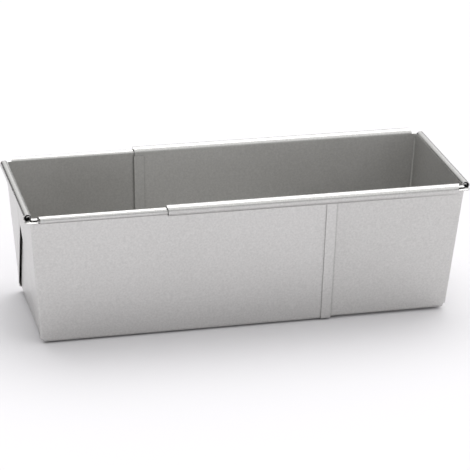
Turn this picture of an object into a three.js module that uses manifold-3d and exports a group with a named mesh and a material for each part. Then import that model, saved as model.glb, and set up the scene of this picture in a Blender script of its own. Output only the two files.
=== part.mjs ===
// Adjustable loaf pan: two halves folded from coated sheet steel, the inner one sliding inside the outer one.
// Millimetres, +Z up. +X runs along the pan towards the inner half's closed end, and -Y is the front.
// The origin is on the table, under the middle of the pan at the length that is shown.

import * as THREE from 'three';
import { mergeVertices } from 'three/addons/utils/BufferGeometryUtils.js';
import Module from 'manifold-3d';

const wasm = await Module();
wasm.setup();

// Sheet and overall sizes
const SHEET = 0.5; // thickness of the coated steel
const SHOWN_LENGTH = 275; // over both end rims, as the pan stands
const OUTER_LENGTH = 190.5; // outer half, from the outside of its end rim to its open edge
const INNER_LENGTH = 190.3; // inner half, measured in the same way
const FLOOR_WIDTH = 83; // outside of the outer half's floor, with the bends left out
const RIM_HEIGHT = 83.5; // outer half's rim centres above the underside of its floor
const SIDE_LEAN = 5.2; // degrees that the long walls lean out
const END_LEAN = 4.5; // degrees that the end walls lean out
const FLOOR_BEND = 3; // outside radius between floor and walls
const CORNER_BEND = 1.5; // outside radius of the upright corners

// Clearances between the halves
const SLIDE_GAP = 0.4; // between the two sheets, at the walls and the floor
const RIM_GAP = 0.3; // under the outer half's long rims, inside the inner half's
const RIM_SLOT = 0.6; // from the outer half's wall to the free edge of the inner half's long rims

// Rolled rims
const SIDE_RIM = 2.3; // outside radius of the outer half's long rims
const END_RIM = 2.6; // outside radius of both end rims
const RIM_RISE = 0.3; // how much higher the inner half's rims lie
const RIM_TURN = 290; // degrees that the outer half's long rims and all end rims roll round
const SIDE_RIM_START = 7.6; // from the outside of an end rim to the inner side of the long rims' slanted ends
const RIM_MITRE = 20; // degrees that those ends slant away from the corner
const END_RIM_SETBACK = 5; // from the centre line of a long rim to the open end of an end rim
const CORNER_LIP = 2.4; // how far the unrolled lip reaches out at the corners

// Folded hems along the open edges
const HEM_WIDTH = 6.4;
const OUTER_HEM_DROP = 0.4; // below the inner half's long rims
const INNER_HEM_DROP = 1.5; // below the centre of the inner half's long rims

// Ears: the blank's spare corners, folded flat on the outside of the end walls
const EAR_GAP = 0.8; // between an ear's free edge and the end wall
const EAR_ROOT = 5; // width along the upright corners where an ear lies tight on the end wall
const EAR_PARTING = 1; // between the two ears of an end wall, where they meet
const EAR_LOCK = 10; // height below an end rim where the ears are held tight

// Facets and joins
const ROLL_FACETS = 22; // along a rolled rim
const BEND_FACETS = 5; // along a bend
const SUNK = 0.02; // how deep joined pieces sink into each other, so that no two faces coincide
const ROOT_ANGLE = 15; // degrees that a rolled rim starts below the top of its wall
const BEYOND = 30; // how far a cutting shape runs past what it cuts

// Values that follow
const rad = THREE.MathUtils.degToRad;
const sideLean = rad(SIDE_LEAN);
const endLean = rad(END_LEAN);
const floorZ = SHEET; // the hem lies under the outer half's floor
const innerSetIn = SHEET + SLIDE_GAP;
const innerSideRim = SIDE_RIM + RIM_RISE + RIM_GAP + SHEET;

// The two halves. setIn is how far a half's outer face lies inside the outer half's outer face.
// The inner half's long rims roll round until their free edge is a slot's width from the outer half's wall.
const innerFreeEdge = Math.acos((RIM_SLOT + innerSetIn + SHEET) / innerSideRim - 1);
const innerHalf = {
  name: 'inner_half',
  length: INNER_LENGTH,
  setIn: innerSetIn,
  sideRim: innerSideRim,
  sideTurn: Math.PI + innerFreeEdge,
  rimZ: floorZ + RIM_HEIGHT + RIM_RISE,
  hemIn: 2 * SHEET,
  hemOut: -SHEET / 2,
  hemTop: floorZ + RIM_HEIGHT + RIM_RISE - INNER_HEM_DROP,
};
const outerHalf = {
  name: 'outer_half',
  length: OUTER_LENGTH,
  setIn: 0,
  sideRim: SIDE_RIM,
  sideTurn: rad(RIM_TURN),
  rimZ: floorZ + RIM_HEIGHT,
  hemIn: SHEET / 2,
  hemOut: SHEET,
  hemTop: innerHalf.rimZ - innerSideRim - OUTER_HEM_DROP,
};

// A closed geometry as a solid that can be joined and cut
function solid(geometry) {
  geometry.deleteAttribute('normal');
  geometry.deleteAttribute('uv');
  const merged = mergeVertices(geometry);
  return new wasm.Manifold(new wasm.Mesh({
    numProp: 3,
    vertProperties: new Float32Array(merged.attributes.position.array),
    triVerts: new Uint32Array(merged.index.array),
  }));
}

// A finished solid as a named mesh
function sheetMesh(body, name, colour) {
  const { vertProperties, triVerts } = body.getMesh();
  const geometry = new THREE.BufferGeometry();
  geometry.setAttribute('position', new THREE.BufferAttribute(new Float32Array(vertProperties), 3));
  geometry.setIndex(new THREE.BufferAttribute(new Uint32Array(triVerts), 1));
  geometry.computeVertexNormals();
  const material = new THREE.MeshStandardMaterial({ color: colour, roughness: 0.38, metalness: 0.9 });
  const mesh = new THREE.Mesh(geometry, material);
  mesh.name = name;
  return mesh;
}

// A rectangular block between two corners
function block(low, high) {
  const size = new THREE.Vector3().subVectors(high, low);
  const middle = new THREE.Vector3().addVectors(low, high).multiplyScalar(0.5);
  return solid(new THREE.BoxGeometry(size.x, size.y, size.z).translate(middle.x, middle.y, middle.z));
}

// A flat outline, drawn in the directions right and up from a place, and pushed out along their cross product
function pushOut(shape, right, up, place, depth) {
  const options = { depth, bevelEnabled: false, curveSegments: ROLL_FACETS };
  const geometry = new THREE.ExtrudeGeometry(shape, options);
  const basis = new THREE.Matrix4().makeBasis(right, up, new THREE.Vector3().crossVectors(right, up));
  return solid(geometry.applyMatrix4(basis).translate(place.x, place.y, place.z));
}

const UP = new THREE.Vector3(0, 0, 1);

// A half is drawn with its closed end at x = 0, the outside of the end rim, and its open edge at its length.
// Grow moves a face outwards from the half's own outer face.

// Half width of a long wall at a height, as if it ran on down without a bend
function sideAt(half, z, grow) {
  return FLOOR_WIDTH / 2 + (grow - half.setIn) / Math.cos(sideLean) + (z - floorZ) * Math.tan(sideLean);
}

// Place of the end wall along x at a height, with the end rim rolled round from its inner face
function endAt(half, z, grow) {
  const wallAtRim = END_RIM + (END_RIM - SHEET - grow) / Math.cos(endLean);
  return wallAtRim + (half.rimZ - z) * Math.tan(endLean);
}

// How far the bend into the floor draws a leaning wall in at a height above the floor
function drawnIn(height, bend, lean) {
  const tangent = bend * (1 - Math.sin(lean));
  if (height >= tangent) {
    return 0;
  }
  const centre = -tangent / Math.cos(lean);
  const arc = Math.sqrt(Math.max(bend * bend - (bend - height) ** 2, 0));
  return height * Math.tan(lean) - centre - arc;
}

// Outline of a trough at one height, anticlockwise from above, with round corners at the closed end only
function troughOutline(half, z, grow, base, bend, corner) {
  const sideDraw = drawnIn(z - base, bend, sideLean);
  const y = sideAt(half, z, grow.side) - sideDraw;
  const x = endAt(half, z, grow.end) + drawnIn(z - base, bend, endLean);
  const open = half.length + BEYOND;
  const radius = Math.max(corner - sideDraw, SHEET);
  const outline = [[open, -y], [open, y]];
  for (const side of [1, -1]) {
    for (let i = 0; i <= BEND_FACETS; i += 1) {
      const turn = (i / BEND_FACETS) * Math.PI / 2 + (side > 0 ? Math.PI / 2 : Math.PI);
      outline.push([x + radius + radius * Math.cos(turn), side * (y - radius) + radius * Math.sin(turn)]);
    }
  }
  return outline;
}

// A solid trough with leaning walls, bends into its floor and round corners at its closed end
function trough(half, grow, top) {
  const bend = Math.max(FLOOR_BEND - half.setIn + grow.floor, SHEET);
  const corner = Math.max(CORNER_BEND + grow.side, SHEET);
  const base = floorZ + half.setIn - grow.floor;
  const heights = [];
  for (let i = 0; i <= BEND_FACETS; i += 1) {
    heights.push(base + bend * (1 - Math.cos((i / BEND_FACETS) * Math.PI / 2)));
  }
  heights.push(top);
  const points = [];
  const faces = [];
  const rings = heights.map((z) => troughOutline(half, z, grow, base, bend, corner));
  const count = rings[0].length;
  rings.forEach((ring, level) => ring.forEach(([x, y]) => points.push(x, y, heights[level])));
  for (let level = 0; level + 1 < rings.length; level += 1) {
    for (let i = 0; i < count; i += 1) {
      const j = (i + 1) % count;
      const lower = level * count;
      const upper = lower + count;
      faces.push(lower + i, lower + j, upper + j, lower + i, upper + j, upper + i);
    }
  }
  const last = (rings.length - 1) * count;
  for (let i = 1; i + 1 < count; i += 1) {
    faces.push(0, i + 1, i, last, last + i, last + i + 1);
  }
  const geometry = new THREE.BufferGeometry();
  geometry.setAttribute('position', new THREE.Float32BufferAttribute(points, 3));
  geometry.setIndex(faces);
  return solid(geometry);
}

// The same growth on every face of a trough
function allRound(grow) {
  return { side: grow, end: grow, floor: grow };
}

// Floor and walls, one sheet thick
function shell(half) {
  const top = half.rimZ + SHEET / 2;
  return trough(half, allRound(0), top).subtract(trough(half, allRound(-SHEET), top + BEYOND));
}

// Section of a rolled rim, right being outwards, rolled out and down from the top of a leaning wall
function rollSection(radius, lean, turn) {
  const start = Math.PI - lean + rad(ROOT_ANGLE);
  const end = Math.PI - lean - turn;
  const section = new THREE.Shape();
  section.absarc(0, 0, radius, start, end, true);
  section.absarc(0, 0, radius - SHEET, end, start, false);
  return section;
}

// Centre line of a long rim, which lies against its wall's inner face
function sideRimY(half) {
  return sideAt(half, half.rimZ, -SHEET) + half.sideRim / Math.cos(sideLean);
}

// A long rim on the side y > 0 or y < 0, cut slantwise at the corner
function longRim(half, side) {
  const section = rollSection(half.sideRim, sideLean, half.sideTurn);
  const from = SIDE_RIM_START - half.sideRim;
  const depth = half.length + BEYOND - from;
  const start = side > 0 ? from : from + depth;
  const centre = side * sideRimY(half);
  const right = new THREE.Vector3(0, side, 0);
  const roll = pushOut(section, right, UP, new THREE.Vector3(start, centre, half.rimZ), depth);
  const mitre = new THREE.BoxGeometry(BEYOND, BEYOND, BEYOND)
    .translate(-BEYOND / 2, 0, 0)
    .rotateZ(-side * rad(RIM_MITRE))
    .translate(SIDE_RIM_START, centre - side * half.sideRim, half.rimZ);
  return roll.subtract(solid(mitre));
}

// The end rim, which stops short of the corners with open ends
function endRim(half) {
  const reach = sideRimY(half) - END_RIM_SETBACK;
  const section = rollSection(END_RIM, endLean, rad(RIM_TURN));
  const right = new THREE.Vector3(-1, 0, 0);
  return pushOut(section, right, UP, new THREE.Vector3(END_RIM, -reach, half.rimZ), 2 * reach);
}

// The unrolled lip at each corner, between the end rim and the long rims
function cornerLips(half) {
  const top = half.rimZ + SHEET;
  const inner = sideRimY(half) - END_RIM_SETBACK - SHEET;
  const ledge = trough(half, allRound(CORNER_LIP), top)
    .subtract(trough(half, allRound(-SHEET / 2), top + BEYOND));
  const corners = [1, -1].map((side) => {
    const near = new THREE.Vector3(-BEYOND, side > 0 ? inner : -inner - BEYOND, half.rimZ);
    const far = new THREE.Vector3(SIDE_RIM_START, near.y + BEYOND, top + BEYOND);
    return ledge.intersect(block(near, far));
  });
  return corners[0].add(corners[1]);
}

// The hem round the open edge: one more sheet, outside on the outer half and inside on the inner half
function hem(half) {
  const top = half.hemTop;
  const band = trough(half, allRound(half.hemOut), top)
    .subtract(trough(half, allRound(-half.hemIn), top + BEYOND));
  const low = new THREE.Vector3(half.length - HEM_WIDTH, -FLOOR_WIDTH, -BEYOND);
  const high = new THREE.Vector3(half.length + BEYOND / 2, FLOOR_WIDTH, top + BEYOND);
  return band.intersect(block(low, high));
}

// An ear's fold halves the blank's spare angle at a floor corner. This is its angle from upright.
const earFold = (Math.PI / 2 - sideLean - endLean) / 2 - sideLean;

// Outline of the ear on the side y > 0, right being outwards along y
function earOutline(apex, top) {
  const meet = apex.z + (apex.y - EAR_PARTING / 2) / Math.tan(earFold);
  const outline = new THREE.Shape();
  outline.moveTo(apex.y, apex.z);
  outline.lineTo(apex.y + BEYOND, apex.z);
  outline.lineTo(apex.y + BEYOND, top);
  outline.lineTo(Math.max(apex.y - (top - apex.z) * Math.tan(earFold), EAR_PARTING / 2), top);
  if (meet < top) {
    outline.lineTo(EAR_PARTING / 2, meet);
  }
  return outline;
}

// Outline of the space behind an ear's free edge, from its root along the corner past the free edge
function earSlitOutline(apex, top) {
  const past = EAR_PARTING;
  const start = apex.z + EAR_ROOT / (Math.tan(earFold) + Math.tan(sideLean));
  const free = (z) => apex.y - (z - apex.z) * Math.tan(earFold) - past;
  const root = (z) => apex.y + (z - apex.z) * Math.tan(sideLean) - EAR_ROOT;
  const outline = new THREE.Shape();
  outline.moveTo(free(start), start);
  outline.lineTo(root(start), start);
  outline.lineTo(root(top), top);
  outline.lineTo(free(top), top);
  return outline;
}

// The two ears of an end wall, each two sheets thick and standing off at its free edge
function ears(half) {
  const apexZ = floorZ + half.setIn + FLOOR_BEND;
  const apex = { y: sideAt(half, apexZ, 0), z: apexZ };
  const top = half.rimZ - END_RIM + SHEET;
  const stack = { side: -SUNK, end: EAR_GAP + 2 * SHEET, floor: 0 };
  const slit = { side: -SUNK, end: EAR_GAP, floor: 0 };
  const backed = { side: -SHEET / 2, end: -SHEET / 2, floor: -SHEET / 2 };
  const pile = trough(half, stack, top).subtract(trough(half, backed, top + BEYOND));
  const space = trough(half, slit, top).subtract(trough(half, allRound(-SUNK), top + BEYOND));
  const outline = earOutline(apex, top + SHEET);
  const slitOutline = earSlitOutline(apex, top - EAR_LOCK);
  const depth = endAt(half, apexZ, 0) + CORNER_BEND + BEYOND;
  const sides = [1, -1].map((side) => {
    const right = new THREE.Vector3(0, side, 0);
    const place = new THREE.Vector3(side > 0 ? -BEYOND : depth - BEYOND, 0, 0);
    const ear = pile.intersect(pushOut(outline, right, UP, place, depth));
    return ear.subtract(space.intersect(pushOut(slitOutline, right, UP, place, depth)));
  });
  return sides[0].add(sides[1]);
}

// One half: everything is a fold of one sheet, so it is one body, cut off square at its open edge
function panHalf(half, colour) {
  const low = new THREE.Vector3(half.length, -2 * FLOOR_WIDTH, -BEYOND);
  const high = new THREE.Vector3(half.length + 3 * BEYOND, 2 * FLOOR_WIDTH, 2 * RIM_HEIGHT);
  const body = shell(half)
    .add(longRim(half, 1))
    .add(longRim(half, -1))
    .add(endRim(half))
    .add(cornerLips(half))
    .add(ears(half))
    .add(hem(half))
    .subtract(block(low, high));
  return sheetMesh(body, half.name, colour);
}

const outer = panHalf(outerHalf, 0xc4c4c6);
outer.position.x = -SHOWN_LENGTH / 2;

const inner = panHalf(innerHalf, 0xbdbdbf);
inner.rotation.z = Math.PI;
inner.position.x = SHOWN_LENGTH / 2;

const pan = new THREE.Group();
pan.name = 'adjustable_loaf_pan';
pan.add(outer, inner);

export default pan;
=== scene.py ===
"""An adjustable loaf pan: two halves folded from coated sheet steel, one sliding inside the other."""

import math
from collections import namedtuple

import bmesh
import bpy
from mathutils import Matrix, Vector


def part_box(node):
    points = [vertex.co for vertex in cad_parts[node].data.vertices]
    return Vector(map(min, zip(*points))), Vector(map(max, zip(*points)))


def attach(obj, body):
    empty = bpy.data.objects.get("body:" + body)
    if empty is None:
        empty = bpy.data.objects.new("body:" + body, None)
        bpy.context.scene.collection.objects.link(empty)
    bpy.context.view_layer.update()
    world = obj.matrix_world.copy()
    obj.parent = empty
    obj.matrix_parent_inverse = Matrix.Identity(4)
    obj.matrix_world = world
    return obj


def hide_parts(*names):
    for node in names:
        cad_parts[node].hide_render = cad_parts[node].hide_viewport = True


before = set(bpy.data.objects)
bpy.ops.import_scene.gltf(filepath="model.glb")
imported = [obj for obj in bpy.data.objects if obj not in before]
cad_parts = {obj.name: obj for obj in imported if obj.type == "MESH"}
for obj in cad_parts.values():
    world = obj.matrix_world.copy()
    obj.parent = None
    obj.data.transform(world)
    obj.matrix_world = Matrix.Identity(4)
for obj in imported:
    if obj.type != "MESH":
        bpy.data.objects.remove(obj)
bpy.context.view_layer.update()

bl_info = {
    "name": "Adjustable loaf pan",
    "version": (1, 0, 0),
    "blender": (4, 5, 0),
    "location": "View3D > Sidebar > Loaf pan",
    "description": "Folds the two sliding halves of a loaf pan from coated sheet steel",
    "category": "Add Mesh",
}

MM = 0.001

# Steps in the sheet's bends
BEND_STEPS = 9
CORNER_STEPS = 6
ROLL_STEP = math.radians(8.5)
FOLD_STEPS = 8
LIP_STEPS = 4
EAR_STEPS = 5
EAR_ROWS = 16

# Edges that turn more than this stay sharp, and points closer than this become one
SHARP_ANGLE = math.radians(36)
WELD = 1e-7

# Least radius of an upright corner, as a share of the sheet's thickness
LEAST_CORNER = 0.25

# Share of an ear's gap that is left where the ear is closed up
EAR_CLOSED = 0.15

# How deep an ear starts in the side wall, and how deep its root ends in the end wall and
# the side wall, as shares of the sheet's thickness
TUCKED = 0.01 * MM
ROOT_IN_END = 1 / 3
ROOT_IN_SIDE = 1 / 2

# Fineness of the coating's flakes and clouds, and the range that their noise mostly fills
FLAKE_DETAIL = 3.0
FLAKE_RANGE = (0.25, 0.75)
CLOUD_DETAIL = 2.0
CLOUD_RANGE = (0.3, 0.7)

# Where the room's bright ceiling, dim doorway, curtain and front lie, and the angles
# from there at which each starts and ends to fade
CEILING_DIRECTION = (0.1, 0.32, 1.0)
CEILING_EDGES = (math.radians(10), math.radians(38))
DOORWAY_DIRECTION = (-0.44, 0.9, 0.0)
DOORWAY_EDGES = (math.radians(6), math.radians(24))
CURTAIN_DIRECTION = (0.44, 0.9, 0.0)
CURTAIN_EDGES = (math.radians(4), math.radians(22))
FRONT_DIRECTION = (0.22, -0.98, 0.05)
FRONT_EDGES = (math.radians(6), math.radians(28))
WHITE = (1.0, 1.0, 1.0, 1.0)

# Half the width of the floor in metres, and its dull paint
FLOOR_REACH = 4.0
FLOOR_ROUGHNESS = 0.9
FLOOR_GLOSS = 0.1

# Width of the camera's sensor in millimetres, and how far it sees in metres
SENSOR_WIDTH = 36.0
SIGHT_END = 50.0

# One row of points up the walls: half width and height at the sides, distance from the
# closed end and height there, and how far the floor bend draws the row in
WallRow = namedtuple("WallRow", "width side_z reach end_z drawn")


def length(name, description, millimetres):
    """A size in metres with its default given in millimetres."""
    return bpy.props.FloatProperty(
        name=name, description=description, default=millimetres * MM, min=0.0, precision=5, unit="LENGTH"
    )


def angle(name, description, degrees):
    """An angle with its default given in degrees."""
    return bpy.props.FloatProperty(
        name=name, description=description, default=math.radians(degrees), precision=4, subtype="ANGLE"
    )


def factor(name, description, share):
    """A share between nought and one."""
    return bpy.props.FloatProperty(
        name=name, description=description, default=share, min=0.0, max=1.0, subtype="FACTOR"
    )


def strength(name, description, value):
    """How bright a light is."""
    return bpy.props.FloatProperty(name=name, description=description, default=value, min=0.0)


def colour(name, description, shades):
    """A colour in linear light, as its red, green and blue."""
    return bpy.props.FloatVectorProperty(
        name=name, description=description, default=shades, size=3, min=0.0, max=1.0, subtype="COLOR"
    )


class LoafPanSizes(bpy.types.PropertyGroup):
    """Sizes of the folded sheet with its rims, hems, lips and ears."""

    sheet: length("Sheet", "Thickness of the coated steel", 0.5)
    floor_width: length("Floor width", "Where the outer half's side walls would meet its floor", 83)
    side_lean: angle("Side lean", "Slope of the long walls", 5.2)
    end_lean: angle("End lean", "Slope of the end walls", 4.5)
    floor_bend: length("Floor bend", "Outside radius between the floor and the walls", 3)
    corner_bend: length("Corner bend", "Outside radius of the upright corners", 1.5)
    slide_gap: length("Slide gap", "Between the walls of the two halves", 0.4)
    seam_step: length("Seam step", "How far the sheet sinks back beside an upright corner", 0.3)

    side_rim: length("Side rim", "Radius of the outer half's long rims", 2.3)
    end_rim: length("End rim", "Radius of the end rims", 2.6)
    rim_rise: length("Rim rise", "How much higher the inner half's rims are", 0.3)
    rim_gap: length("Rim gap", "Between the two halves' long rims", 0.3)
    rim_slot: length("Rim slot", "Between the wall and the free edge of the inner half's long rims", 0.6)
    rim_turn: angle("Rim turn", "How far the outer half's long rims are rolled", 290)
    curl_turn: angle("Curl turn", "How far an end rim is rolled, with its curl inside", 490)
    curl_start: angle("Curl start", "Where an end rim's curl starts to tighten", 270)
    curl_tightness: factor("Curl tightness", "Share of its radius that a curl loses in half a turn", 0.6)
    rim_start: length("Rim start", "From a half's closed end to where its long rims start", 7.6)
    rim_mitre: angle("Rim mitre", "Slant of the long rims' starts", 20)
    rim_nose: length("Rim nose", "How far the top of the long rims' open ends stands out", 0.8)
    rim_setback: length("Rim setback", "From the long rims' middle to an end rim's open ends", 5)

    upper_lip: length("Upper lip", "Width of a corner's upper lip", 1.0)
    lower_lip: length("Lower lip", "Width of a corner's lower lip beside a long rim", 0.8)
    lower_lip_end: length("Lower lip at the end", "Width of a corner's lower lip beside an end rim", 3.0)
    lip_droop: angle("Lip droop", "Slope of a corner's lips", 28)
    lip_bend: length("Lip bend", "Radius of the bend under a corner's lips", 0.3)
    lip_spacing: length("Lip spacing", "From a corner's upper lip to its lower one", 1.7)
    lip_pocket: length("Lip pocket", "Width and depth of the pocket behind a lower lip", 1.0)
    lip_stand: length("Lip stand", "From the wall's outside to the middle of a lower lip's sheet", 0.3)
    lip_cut: length("Lip cut", "Between a corner's lips and the start of a long rim", 0.2)

    hem_width: length("Hem width", "Width of the folded strip along the open edge", 6.4)
    hem_gap: length("Hem gap", "Between the layers of a hem", 0.01)
    outer_hem_drop: length("Outer hem drop", "Below the other half's rims", 0.4)
    inner_hem_drop: length("Inner hem drop", "Below the middle of its own rims", 1.5)
    hem_cut: length("Hem cut", "Slit above the end of a hem", 0.2)

    ear_gap: length("Ear gap", "Between an ear's free edge and the end wall", 1.1)
    ear_parting: length("Ear parting", "Between the two ears of an end wall", 1)
    ear_corner: length("Ear corner", "Outside radius of an ear's upright bend", 1.5)
    ear_round: length("Ear round", "Width of the soft rounding along an ear's free edge", 5)
    ear_taper: length("Ear taper", "How much thinner an ear is at its free edge", 0.6)
    ear_foot: length("Ear foot", "Height above the floor bend where an ear's free edge opens", 3)
    ear_lock: length("Ear lock", "Height below an end rim where the ears close up on the wall", 8)


class LoafPanFinish(bpy.types.PropertyGroup):
    """Colour and surface of the baked-on coating."""

    coat: colour("Coat", "Silver-grey of the coating", (0.6, 0.595, 0.583))
    outer_roughness: factor("Outer roughness", "Spread of reflections on the outer half", 0.34)
    inner_roughness: factor("Inner roughness", "Spread of reflections on the inner half", 0.45)
    rim_roughness: factor("Rim roughness", "Spread of reflections on the burnished tops of the rims", 0.25)
    flake: length("Flake", "Size of the coating's flakes", 1.2)
    mottle: factor("Mottle", "How much the tone varies from flake to flake", 0.09)
    bump: factor("Bump", "Strength of the flakes' bumps", 0.06)
    bump_height: length("Bump height", "Height of the flakes' bumps", 0.1)
    cloud: length("Cloud", "Size of the soft patches in the coating", 30)
    cloud_depth: factor("Cloud depth", "How much the roughness varies from patch to patch", 0.04)
    # Painted shade: how much and how far out the coating's colour is darkened where nearby surfaces occlude
    # it, standing in for shadow in crevices and beside steps between parts
    painted_shade: factor("Crevice", "How much darker the coating is in crevices", 0.7)
    painted_shade_width: length("Crevice width", "How far out of a crevice the coating is darker", 1.6)


class LoafPanStage(bpy.types.PropertyGroup):
    """Floor, lights and camera."""

    floor: colour("Floor", "Pale floor", (0.72, 0.711, 0.728))
    left_wall: strength("Left wall", "Brightness of the room's left wall", 0.48)
    right_wall: strength("Right wall", "Brightness of the room's right wall", 1.45)
    ceiling: strength("Ceiling", "Brightness of the room's ceiling", 3.4)
    doorway: strength("Doorway", "Brightness of the dim doorway at the back left", 0.05)
    curtain: strength("Curtain", "Brightness of the grey curtain at the back right", 0.35)
    front: strength("Front", "Brightness of the room behind the camera", 0.4)
    azimuth: angle("Azimuth", "Camera direction from the front, positive to the right", -13.845)
    elevation: angle("Elevation", "Camera height above the floor, as an angle", 22.136)
    roll: angle("Roll", "Turn of the picture", 0.859)
    distance: length("Distance", "From the camera to the pan's middle", 1519.2)
    aim_right: length("Aim right", "Shift of the camera to its right", 1.74)
    aim_height: length("Aim height", "Height that the camera looks at", 44.11)
    lens: bpy.props.FloatProperty(name="Lens", description="Focal length", default=187.35, unit="CAMERA")


class PanHalf:
    """One half, drawn with its closed end at x = 0 and its open edge at x = length."""

    def __init__(self, name, sizes, inside):
        self.name = name
        self.sizes = sizes
        self.inside = inside
        self.low, self.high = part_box(f"{name}_half")
        self.length = self.high.x - self.low.x
        self.fold_x = self.length - sizes.sheet - sizes.hem_gap / 2
        self.set_in = sizes.sheet + sizes.slide_gap if inside else 0.0

        # Radii of the rims outside and in the middle of the sheet, and where the rims lie
        self.mid = -sizes.sheet / 2
        rim_step = sizes.rim_rise + sizes.rim_gap + sizes.sheet
        self.side_rim = sizes.side_rim + (rim_step if inside else 0.0)
        self.side_roll = self.side_rim + self.mid
        self.end_roll = sizes.end_rim + self.mid
        self.rim_z = self.high.z - max(self.side_rim, sizes.end_rim)
        self.rim_y = self.side_at(self.rim_z, -sizes.sheet) + self.side_rim / math.cos(sizes.side_lean)
        self.end_rim_reach = self.rim_y - sizes.rim_setback
        if inside:
            reach = sizes.rim_slot + self.set_in + sizes.sheet
            self.side_turn = math.pi + math.acos(reach / self.side_rim - 1)
            self.hem_top = self.rim_z - sizes.inner_hem_drop
        else:
            self.side_turn = sizes.rim_turn
            self.hem_top = self.rim_z + sizes.rim_rise - sizes.side_rim - rim_step - sizes.outer_hem_drop

        # Lowest and highest point of the ears, slope of their free edges, how far they stand
        # off the wall where they are closed up, and the radius of their fold
        self.ear_low = sizes.sheet + self.set_in + sizes.floor_bend
        self.ear_top = self.rim_z - sizes.end_rim + sizes.sheet
        self.ear_lean = (math.pi / 2 - sizes.side_lean - sizes.end_lean) / 2 - sizes.side_lean
        self.ear_tight = sizes.ear_gap * EAR_CLOSED + 2 * sizes.sheet
        self.ear_tip = sizes.sheet - sizes.ear_taper / 2

    def place(self, point):
        """A point of this half in the pan's frame."""
        if self.inside:
            return Vector((self.high.x - point.x, -point.y, point.z))
        return Vector((self.low.x + point.x, point.y, point.z))

    def side_at(self, z, grow):
        """Half width at a height, on the sheet's outside moved out by grow."""
        sizes = self.sizes
        foot = sizes.floor_width / 2 + (grow - self.set_in) / math.cos(sizes.side_lean)
        return foot + (z - sizes.sheet) * math.tan(sizes.side_lean)

    def end_at(self, z, grow):
        """Distance of the end wall from the closed end at a height, moved out by grow."""
        sizes = self.sizes
        top = sizes.end_rim + (sizes.end_rim - sizes.sheet - grow) / math.cos(sizes.end_lean)
        return top + (self.rim_z - z) * math.tan(sizes.end_lean)

    def row_at(self, z, grow):
        """A row on the straight part of the walls."""
        return WallRow(self.side_at(z, grow), z, self.end_at(z, grow), z, 0.0)

    def bend_rows(self, grow):
        """Rows from the floor round the floor bend."""
        sizes = self.sizes
        base = sizes.sheet + self.set_in - grow
        bend = sizes.floor_bend - self.set_in + grow
        side_middle = self.side_at(base + bend, grow) - bend / math.cos(sizes.side_lean)
        end_middle = self.end_at(base + bend, grow) + bend / math.cos(sizes.end_lean)
        rows = []
        for step in range(BEND_STEPS + 1):
            side_turn = (math.pi / 2 - sizes.side_lean) * step / BEND_STEPS
            end_turn = (math.pi / 2 - sizes.end_lean) * step / BEND_STEPS
            width = side_middle + bend * math.sin(side_turn)
            side_z = base + bend * (1 - math.cos(side_turn))
            reach = end_middle - bend * math.sin(end_turn)
            end_z = base + bend * (1 - math.cos(end_turn))
            rows.append(WallRow(width, side_z, reach, end_z, self.side_at(side_z, grow) - width))
        return rows

    def rim_row(self):
        """The row where the walls go over into the rims."""
        sizes = self.sizes
        side_z = self.rim_z + self.side_roll * math.sin(sizes.side_lean)
        end_z = self.rim_z + self.end_roll * math.sin(sizes.end_lean)
        return WallRow(self.side_at(side_z, self.mid), side_z, self.end_at(end_z, self.mid), end_z, 0.0)

    def rim_end(self, out, up):
        """Where a long rim ends at the open edge, at steps outward and upward from its middle."""
        rounded = out / self.side_roll if up > 0 else 1.0
        return self.length - self.sizes.rim_nose * rounded ** 2


def both_halves(sizes):
    """The outer and the inner half."""
    return PanHalf("outer", sizes, False), PanHalf("inner", sizes, True)


def mirrored(points):
    """The same points on the other side of the pan's long middle."""
    return [Vector((point.x, -point.y, point.z)) for point in points]


def skin(mesh, rows, closed=False):
    """Faces between rows of points."""
    corners = [[mesh.verts.new(point) for point in row] for row in rows]
    for lower, upper in zip(corners, corners[1:]):
        count = len(lower)
        for index in range(count if closed else count - 1):
            after = (index + 1) % count
            mesh.faces.new((lower[index], lower[after], upper[after], upper[index]))


def roll_section(radius, lean, turn, curl_start=math.inf, tightness=0.0):
    """Outward and upward steps from a rim's middle, from the wall's top over and under into a curl."""
    steps = round(turn / ROLL_STEP)
    points = []
    for step in range(steps + 1):
        turned = turn * step / steps
        curled = max(turned - curl_start, 0.0) / math.pi
        reach = radius * (1 - tightness * curled)
        points.append((-reach * math.cos(turned + lean), reach * math.sin(turned + lean)))
    return points


def corner_side(half, row, open_x, share):
    """One row of the walls from the open edge round a corner to an end of the end rim."""
    sizes = half.sizes
    top = half.rim_row()
    radius = max(sizes.corner_bend + half.mid - row.drawn, sizes.sheet * LEAST_CORNER)
    step = sizes.seam_step * share
    points = [
        Vector((open_x, row.width, row.side_z)),
        Vector((row.reach + sizes.rim_start - top.reach, row.width, row.side_z)),
    ]
    for index in range(CORNER_STEPS + 1):
        done = index / CORNER_STEPS
        turned = done * math.pi / 2
        x = row.reach - step + radius * (1 - math.sin(turned))
        y = row.width - radius * (1 - math.cos(turned))
        points.append(Vector((x, y, row.side_z + (row.end_z - row.side_z) * done)))
    points.append(Vector((row.reach, row.width - radius - sizes.seam_step / 2, row.end_z)))
    points.append(Vector((row.reach, half.end_rim_reach + row.width - top.width, row.end_z)))
    return points


def corner_directions():
    """Outward directions at the points of corner_side that follow the open edge."""
    turns = [math.pi / 2 * index / CORNER_STEPS for index in range(CORNER_STEPS + 1)]
    round_corner = [Vector((-math.sin(turned), math.cos(turned), 0)) for turned in turns]
    return [Vector((0, 1, 0))] + round_corner + [Vector((-1, 0, 0)), Vector((-1, 0, 0))]


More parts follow.
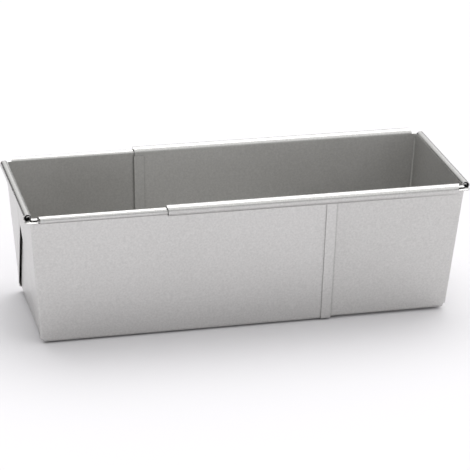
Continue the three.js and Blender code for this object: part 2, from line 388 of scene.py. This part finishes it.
def lip_rows(half, points, side_width, end_width):
    """Rows of a lip that bends outward from points round a corner and droops."""
    sizes = half.sizes
    lean = sizes.side_lean
    section = []
    for step in range(LIP_STEPS + 1):
        turned = lean + (math.pi / 2 + sizes.lip_droop - lean) * step / LIP_STEPS
        out = sizes.lip_bend * (math.cos(lean) - math.cos(turned))
        up = sizes.lip_bend * (math.sin(turned) - math.sin(lean))
        section.append((out, up, 0.0))
    section.append((out, up - side_width * math.sin(sizes.lip_droop), math.cos(sizes.lip_droop)))
    rows = []
    for out, up, share in section:
        row = []
        for point, direction in zip(points, corner_directions()):
            width = side_width * direction.y ** 2 + end_width * direction.x ** 2
            row.append(point + direction * (out + width * share) + Vector((0, 0, up)))
        row[0].x += (row[0].y - points[0].y) * math.tan(sizes.rim_mitre)
        rows.append(row)
    return rows


def add_walls(mesh, half):
    """Floor, floor bends, walls and upright corners."""
    lean = half.sizes.side_lean
    rim_x = half.rim_end(-half.side_roll * math.cos(lean), half.side_roll * math.sin(lean))
    rows = half.bend_rows(half.mid)
    open_edges = [half.fold_x] * (len(rows) + 1) + [rim_x] * 2
    rows.append(half.row_at(half.hem_top, half.mid))
    rows.append(half.row_at(half.hem_top + half.sizes.hem_cut, half.mid))
    rows.append(half.rim_row())
    rings = []
    for row, open_x in zip(rows, open_edges):
        side = corner_side(half, row, open_x, row.end_z / half.rim_z)
        rings.append(mirrored(side) + side[::-1])
    skin(mesh, rings)
    mesh.faces.new([mesh.verts.new(point) for point in rings[0]])


def add_hem(mesh, half):
    """The strip folded back along the open edge, outward on the outer half and inward on the inner."""
    sizes = half.sizes
    radius = (sizes.sheet + sizes.hem_gap) / 2
    way = -1 if half.inside else 1
    columns = []
    for step in range(FOLD_STEPS + 1):
        turned = math.pi * step / FOLD_STEPS
        grow = half.mid + way * radius * (1 - math.cos(turned))
        columns.append((half.fold_x + radius * math.sin(turned), grow))
    columns.append((half.length - sizes.hem_width, grow))
    uprights = []
    for x, grow in columns:
        rows = half.bend_rows(grow) + [half.row_at(half.hem_top, grow)]
        uprights.append([Vector((x, row.width, row.side_z)) for row in rows])
    skin(mesh, uprights)
    skin(mesh, [mirrored(upright) for upright in uprights])
    skin(mesh, [[upright[0], mirrored(upright)[0]] for upright in uprights])


def add_long_rims(mesh, half):
    """The rims rolled outward along both long walls, with slanted starts and rounded open ends."""
    sizes = half.sizes
    wall_out = -half.side_roll * math.cos(sizes.side_lean)
    rows = []
    for out, up in roll_section(half.side_roll, sizes.side_lean, half.side_turn):
        start = sizes.rim_start + (out - wall_out) * math.tan(sizes.rim_mitre)
        y = half.rim_y + out
        z = half.rim_z + up
        rows.append([Vector((start, y, z)), Vector((half.rim_end(out, up), y, z))])
    skin(mesh, rows)
    skin(mesh, [mirrored(row) for row in rows])


def add_end_rim(mesh, half):
    """The rim rolled outward along the end wall, a tube with open ends and its free edge curled inside."""
    sizes = half.sizes
    curl = (sizes.curl_turn, sizes.curl_start, sizes.curl_tightness)
    rows = []
    for out, up in roll_section(half.end_roll, sizes.end_lean, *curl):
        end = Vector((sizes.end_rim - out, half.end_rim_reach, half.rim_z + up))
        rows.append([end] + mirrored([end]))
    skin(mesh, rows)


def add_lips(mesh, half):
    """Two lips one above the other round each corner, between the ends of the rims."""
    sizes = half.sizes
    top = half.rim_row()
    halfway = 3 + CORNER_STEPS // 2
    upper = corner_side(half, top, half.length, top.end_z / half.rim_z)[1:halfway]
    low_z = top.side_z - sizes.lip_spacing
    root_row = half.row_at(low_z - sizes.lip_pocket, sizes.lip_stand)
    edge_row = half.row_at(low_z, sizes.lip_stand + sizes.lip_pocket)
    root, edge = (corner_side(half, row, half.length, 1.0)[1:] for row in (root_row, edge_row))
    for row in (root, edge):
        row[0].x = sizes.rim_start + (row[0].y - top.width) * math.tan(sizes.rim_mitre) - sizes.lip_cut
    upper_rows = lip_rows(half, upper, sizes.upper_lip, sizes.upper_lip)
    lower_rows = [root] + lip_rows(half, edge, sizes.lower_lip, sizes.lower_lip_end)
    for rows in (upper_rows, lower_rows):
        skin(mesh, rows)
        skin(mesh, [mirrored(row) for row in rows])


def ear_gap_at(half, z):
    """Space behind an ear's free edge, which closes towards the floor and under the end rim."""
    sizes = half.sizes
    opened = min((z - half.ear_low) / sizes.ear_foot, (half.ear_top - z) / sizes.ear_lock, 1.0)
    return sizes.ear_gap * (EAR_CLOSED + (1 - EAR_CLOSED) * max(opened, 0.0))


def ear_edge_at(half, z):
    """Distance of an ear's free edge from the pan's long middle."""
    sizes = half.sizes
    edge = half.side_at(half.ear_low, 0) - (z - half.ear_low) * math.tan(half.ear_lean)
    widest = half.side_at(z, 0) - sizes.ear_corner - sizes.sheet
    return min(max(edge, sizes.ear_parting / 2), widest)


def ear_bend(half, z):
    """An ear's upright bend, from the side round onto the end."""
    bend = half.sizes.ear_corner
    points = []
    for step in range(CORNER_STEPS + 1):
        turned = math.pi / 2 * step / CORNER_STEPS
        x = half.end_at(z, 0) - half.ear_tight + bend * (1 - math.sin(turned))
        y = half.side_at(z, 0) - bend * (1 - math.cos(turned))
        points.append(Vector((x, y, z)))
    return points


def ear_face(half, z, edge, gap):
    """An ear's outside along the end, which rounds off softly towards its free edge."""
    sizes = half.sizes
    start = half.side_at(z, 0) - sizes.ear_corner
    stop = edge + half.ear_tip
    rounding = min(sizes.ear_round, (start - stop) / 2)
    across = [start + (stop + rounding - start) * step / EAR_STEPS for step in range(1, EAR_STEPS + 1)]
    across += [stop + rounding * (1 - step / EAR_STEPS) for step in range(1, EAR_STEPS)]
    points = []
    for y in across:
        opened = (start - y) / (start - stop)
        rounded = max(1 - (y - stop) / rounding, 0.0)
        stand_off = half.ear_tight + (gap + 2 * sizes.sheet - half.ear_tight) * opened ** 2
        x = half.end_at(z, 0) - stand_off + sizes.ear_taper * rounded ** 2
        points.append(Vector((x, y, z)))
    return points


def ear_fold(half, z, edge, gap):
    """The fold round an ear's free edge."""
    points = []
    for step in range(FOLD_STEPS + 1):
        turned = math.pi * step / FOLD_STEPS
        x = half.end_at(z, 0) - gap - half.ear_tip * (1 + math.cos(turned))
        y = edge + half.ear_tip * (1 - math.sin(turned))
        points.append(Vector((x, y, z)))
    return points


def ear_section(half, z):
    """Outline of an ear at one height: round the corner, along the end, round the fold and back."""
    sizes = half.sizes
    wall = half.end_at(z, 0)
    side = half.side_at(z, 0)
    edge = ear_edge_at(half, z)
    gap = ear_gap_at(half, z)
    start = [Vector((wall + sizes.corner_bend, side - TUCKED, z))]
    root = [
        Vector((wall + sizes.sheet * ROOT_IN_END, side - sizes.corner_bend, z)),
        Vector((wall + sizes.corner_bend, side - sizes.sheet * ROOT_IN_SIDE, z)),
    ]
    outside = start + ear_bend(half, z) + ear_face(half, z, edge, gap)
    return outside + ear_fold(half, z, edge, gap) + root


def ear_rows(half):
    """Outlines of an ear from the floor bend up into the end rim."""
    sizes = half.sizes
    low_z = half.ear_low
    top_z = half.ear_top
    meet_z = low_z + (half.side_at(low_z, 0) - sizes.ear_parting / 2) / math.tan(half.ear_lean)
    heights = [low_z + (top_z - low_z) * step / EAR_ROWS for step in range(EAR_ROWS + 1)]
    heights += [low_z + sizes.ear_foot, top_z - sizes.ear_lock, meet_z]
    return [ear_section(half, z) for z in sorted(heights)]


def finish_piece(half, mesh, name, sheet=None):
    """An object from a mesh in the half's own frame, thickened if it is a sheet, and set on its body."""
    bmesh.ops.remove_doubles(mesh, verts=mesh.verts, dist=WELD)
    for vert in mesh.verts:
        vert.co = half.place(vert.co)
    bmesh.ops.recalc_face_normals(mesh, faces=mesh.faces)
    data = bpy.data.meshes.new(name)
    mesh.to_mesh(data)
    mesh.free()
    piece = bpy.data.objects.new(name, data)
    bpy.context.scene.collection.objects.link(piece)
    if sheet:
        thicken = piece.modifiers.new("Sheet", "SOLIDIFY")
        thicken.thickness = sheet
        thicken.offset = 0.0
        thicken.use_even_offset = True
        graph = bpy.context.evaluated_depsgraph_get()
        solid = bpy.data.meshes.new_from_object(piece.evaluated_get(graph))
        piece.modifiers.clear()
        piece.data = solid
    piece.data.shade_smooth()
    piece.data.set_sharp_from_angle(angle=SHARP_ANGLE)
    flatten = piece.modifiers.new("Flat faces", "WEIGHTED_NORMAL")
    flatten.keep_sharp = True
    piece.data.materials.clear()
    piece.data.materials.append(coated_steel(bpy.context.scene.loaf_pan_finish, half))
    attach(piece, half.name)
    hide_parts(f"{half.name}_half")


def feed(tree, socket, value):
    """Link another node's output to a socket, or set the socket to a plain value."""
    if isinstance(value, bpy.types.NodeSocket):
        tree.links.new(value, socket)
    else:
        socket.default_value = value


def add_node(tree, kind, output, inputs, **settings):
    """One output of a new node, with the node's inputs and settings."""
    node = tree.nodes.new(kind)
    for name, value in settings.items():
        setattr(node, name, value)
    for name, value in inputs.items():
        feed(tree, node.inputs[name], value)
    return node.outputs[output]


def noise(tree, where, size, detail):
    """Soft noise with features of one size."""
    inputs = {"Vector": where, "Scale": 1 / size, "Detail": detail}
    return add_node(tree, "ShaderNodeTexNoise", "Fac", inputs)


def ranged(tree, value, old, new, **settings):
    """A value taken from its old range to a new one."""
    inputs = {"Value": value, "From Min": old[0], "From Max": old[1], "To Min": new[0], "To Max": new[1]}
    return add_node(tree, "ShaderNodeMapRange", "Result", inputs, **settings)


def scaled(tree, shades, amount):
    """A colour made lighter or darker."""
    return add_node(tree, "ShaderNodeVectorMath", "Vector", {0: shades, "Scale": amount}, operation="SCALE")


def coated_steel(finish, half):
    """Satin silver baked-on coating: fine flakes, soft patches, painted shade in crevices and burnished
    rims.
    """
    name = f"Coated steel, {half.name} half"
    if name in bpy.data.materials:
        return bpy.data.materials[name]
    material = bpy.data.materials.new(name)
    material.use_nodes = True
    tree = material.node_tree
    where = add_node(tree, "ShaderNodeTexCoord", "Object", {})
    flakes = noise(tree, where, finish.flake, FLAKE_DETAIL)
    clouds = noise(tree, where, finish.cloud, CLOUD_DETAIL)

    # Colour: the flakes' mottle, and painted shade where nearby surfaces occlude the coating
    mottled = ranged(tree, flakes, FLAKE_RANGE, (1 - finish.mottle, 1 + finish.mottle))
    # Painted shade: ambient occlusion darkens the base colour in crevices, under the rims and beside the
    # hems
    openness = add_node(tree, "ShaderNodeAmbientOcclusion", "AO", {"Distance": finish.painted_shade_width})
    occlusion_shade = ranged(tree, openness, (0.0, 1.0), (1 - finish.painted_shade, 1.0))
    coat = scaled(tree, scaled(tree, finish.coat, mottled), occlusion_shade)

    # Roughness: the soft patches, and smoother from the rims' middle up
    middle = finish.inner_roughness if half.inside else finish.outer_roughness
    patchy = ranged(tree, clouds, CLOUD_RANGE, (middle - finish.cloud_depth, middle + finish.cloud_depth))
    height = add_node(tree, "ShaderNodeSeparateXYZ", "Z", {"Vector": where})
    rim_heights = (half.rim_z, half.rim_z + half.sizes.end_rim / 2)
    burnished = ranged(tree, height, rim_heights, (patchy, finish.rim_roughness))

    bumps = {"Strength": finish.bump, "Distance": finish.bump_height, "Height": flakes}
    bumpy = add_node(tree, "ShaderNodeBump", "Normal", bumps)
    shader = tree.nodes["Principled BSDF"]
    shader.inputs["Metallic"].default_value = 1.0
    for socket, value in (("Base Color", coat), ("Roughness", burnished), ("Normal", bumpy)):
        feed(tree, shader.inputs[socket], value)
    return material


class LOAFPAN_OT_sheets(bpy.types.Operator):
    """Fold the floor, walls, rims, lips and hem of each half from one sheet"""

    bl_idname = "loaf_pan.sheets"
    bl_label = "Fold the sheets"

    def execute(self, context):
        sizes = context.scene.loaf_pan_sizes
        for half in both_halves(sizes):
            mesh = bmesh.new()
            add_walls(mesh, half)
            add_hem(mesh, half)
            add_long_rims(mesh, half)
            add_end_rim(mesh, half)
            add_lips(mesh, half)
            finish_piece(half, mesh, f"{half.name}_sheet", sizes.sheet)
        return {"FINISHED"}


class LOAFPAN_OT_ears(bpy.types.Operator):
    """Fold the spare sheet of each corner into an ear on the end wall"""

    bl_idname = "loaf_pan.ears"
    bl_label = "Fold the ears"

    def execute(self, context):
        for half in both_halves(context.scene.loaf_pan_sizes):
            rows = ear_rows(half)
            sides = ("front", "back") if half.inside else ("back", "front")
            for side, outlines in zip(sides, (rows, [mirrored(row) for row in rows])):
                mesh = bmesh.new()
                skin(mesh, outlines, closed=True)
                for cap in (outlines[0], outlines[-1]):
                    mesh.faces.new([mesh.verts.new(point) for point in cap])
                finish_piece(half, mesh, f"{half.name}_ear_{side}")
        return {"FINISHED"}


class LOAFPAN_OT_stage(bpy.types.Operator):
    """Set the floor, the lights and the camera"""

    bl_idname = "loaf_pan.stage"
    bl_label = "Set the stage"

    def execute(self, context):
        scene = context.scene
        stage = scene.loaf_pan_stage
        self.lay_floor(scene, stage)
        self.light_room(scene, stage)
        self.aim_camera(scene, stage)
        scene.view_settings.view_transform = "Standard"
        return {"FINISHED"}

    def lay_floor(self, scene, stage):
        """A wide pale floor under the pan."""
        mesh = bmesh.new()
        bmesh.ops.create_grid(mesh, x_segments=1, y_segments=1, size=FLOOR_REACH)
        data = bpy.data.meshes.new("floor")
        mesh.to_mesh(data)
        mesh.free()
        floor = bpy.data.objects.new("floor", data)
        scene.collection.objects.link(floor)
        paint = bpy.data.materials.new("Floor paint")
        paint.use_nodes = True
        shader = paint.node_tree.nodes["Principled BSDF"]
        shader.inputs["Base Color"].default_value = (*stage.floor, 1.0)
        shader.inputs["Roughness"].default_value = FLOOR_ROUGHNESS
        shader.inputs["Specular IOR Level"].default_value = FLOOR_GLOSS
        data.materials.append(paint)

    def light_room(self, scene, stage):
        """A white room that lights the pan softly, brightest overhead and dim at the back and in front."""
        room = bpy.data.worlds.new("White room")
        room.use_nodes = True
        tree = room.node_tree
        where = add_node(tree, "ShaderNodeTexCoord", "Generated", {})
        sideways = add_node(tree, "ShaderNodeSeparateXYZ", "X", {"Vector": where})
        brightness = ranged(tree, sideways, (-1.0, 1.0), (stage.left_wall, stage.right_wall))
        patches = (
            (CEILING_DIRECTION, CEILING_EDGES, stage.ceiling),
            (DOORWAY_DIRECTION, DOORWAY_EDGES, stage.doorway),
            (CURTAIN_DIRECTION, CURTAIN_EDGES, stage.curtain),
            (FRONT_DIRECTION, FRONT_EDGES, stage.front),
        )
        for direction, edges, value in patches:
            inputs = {0: where, 1: Vector(direction).normalized()}
            facing = add_node(tree, "ShaderNodeVectorMath", "Value", inputs, operation="DOT_PRODUCT")
            fade = (math.cos(edges[1]), math.cos(edges[0]))
            brightness = ranged(tree, facing, fade, (brightness, value), interpolation_type="SMOOTHSTEP")
        background = tree.nodes["Background"]
        background.inputs["Color"].default_value = WHITE
        feed(tree, background.inputs["Strength"], brightness)
        scene.world = room

    def aim_camera(self, scene, stage):
        """The camera at the photographed angle."""
        across = math.cos(stage.elevation)
        ahead = -math.cos(stage.azimuth) * across
        back = Vector((math.sin(stage.azimuth) * across, ahead, math.sin(stage.elevation)))
        right = Vector((0, 0, 1)).cross(back).normalized()
        up = back.cross(right)
        turned_right = right * math.cos(stage.roll) + up * math.sin(stage.roll)
        turned_up = up * math.cos(stage.roll) - right * math.sin(stage.roll)
        data = bpy.data.cameras.new("camera")
        data.lens = stage.lens
        data.sensor_width = SENSOR_WIDTH
        data.clip_end = SIGHT_END
        camera = bpy.data.objects.new("camera", data)
        aim = Vector((0, 0, stage.aim_height)) + right * stage.aim_right
        place = Matrix((turned_right, turned_up, back)).transposed().to_4x4()
        place.translation = aim + back * stage.distance
        camera.matrix_world = place
        scene.collection.objects.link(camera)
        scene.camera = camera


class LOAFPAN_PT_sidebar(bpy.types.Panel):
    """Sizes, finish and stage of the loaf pan"""

    bl_idname = "LOAFPAN_PT_sidebar"
    bl_label = "Loaf pan"
    bl_space_type = "VIEW_3D"
    bl_region_type = "UI"
    bl_category = "Loaf pan"

    def draw(self, context):
        layout = self.layout
        layout.use_property_split = True
        scene = context.scene
        for group in (scene.loaf_pan_sizes, scene.loaf_pan_finish, scene.loaf_pan_stage):
            box = layout.box()
            for name in group.__annotations__:
                box.prop(group, name)
        for operator in OPERATORS:
            layout.operator(operator.bl_idname)


OPERATORS = (LOAFPAN_OT_sheets, LOAFPAN_OT_ears, LOAFPAN_OT_stage)
CLASSES = (LoafPanSizes, LoafPanFinish, LoafPanStage, *OPERATORS, LOAFPAN_PT_sidebar)


def register():
    """Make the sizes, operators and panel known to Blender."""
    for cls in CLASSES:
        bpy.utils.register_class(cls)
    bpy.types.Scene.loaf_pan_sizes = bpy.props.PointerProperty(type=LoafPanSizes)
    bpy.types.Scene.loaf_pan_finish = bpy.props.PointerProperty(type=LoafPanFinish)
    bpy.types.Scene.loaf_pan_stage = bpy.props.PointerProperty(type=LoafPanStage)


def unregister():
    """Take them out again."""
    del bpy.types.Scene.loaf_pan_stage
    del bpy.types.Scene.loaf_pan_finish
    del bpy.types.Scene.loaf_pan_sizes
    for cls in reversed(CLASSES):
        bpy.utils.unregister_class(cls)


def main():
    """Make the pan and its stage."""
    register()
    bpy.ops.loaf_pan.sheets()
    bpy.ops.loaf_pan.ears()
    bpy.ops.loaf_pan.stage()


if __name__ == "__main__":
    main()
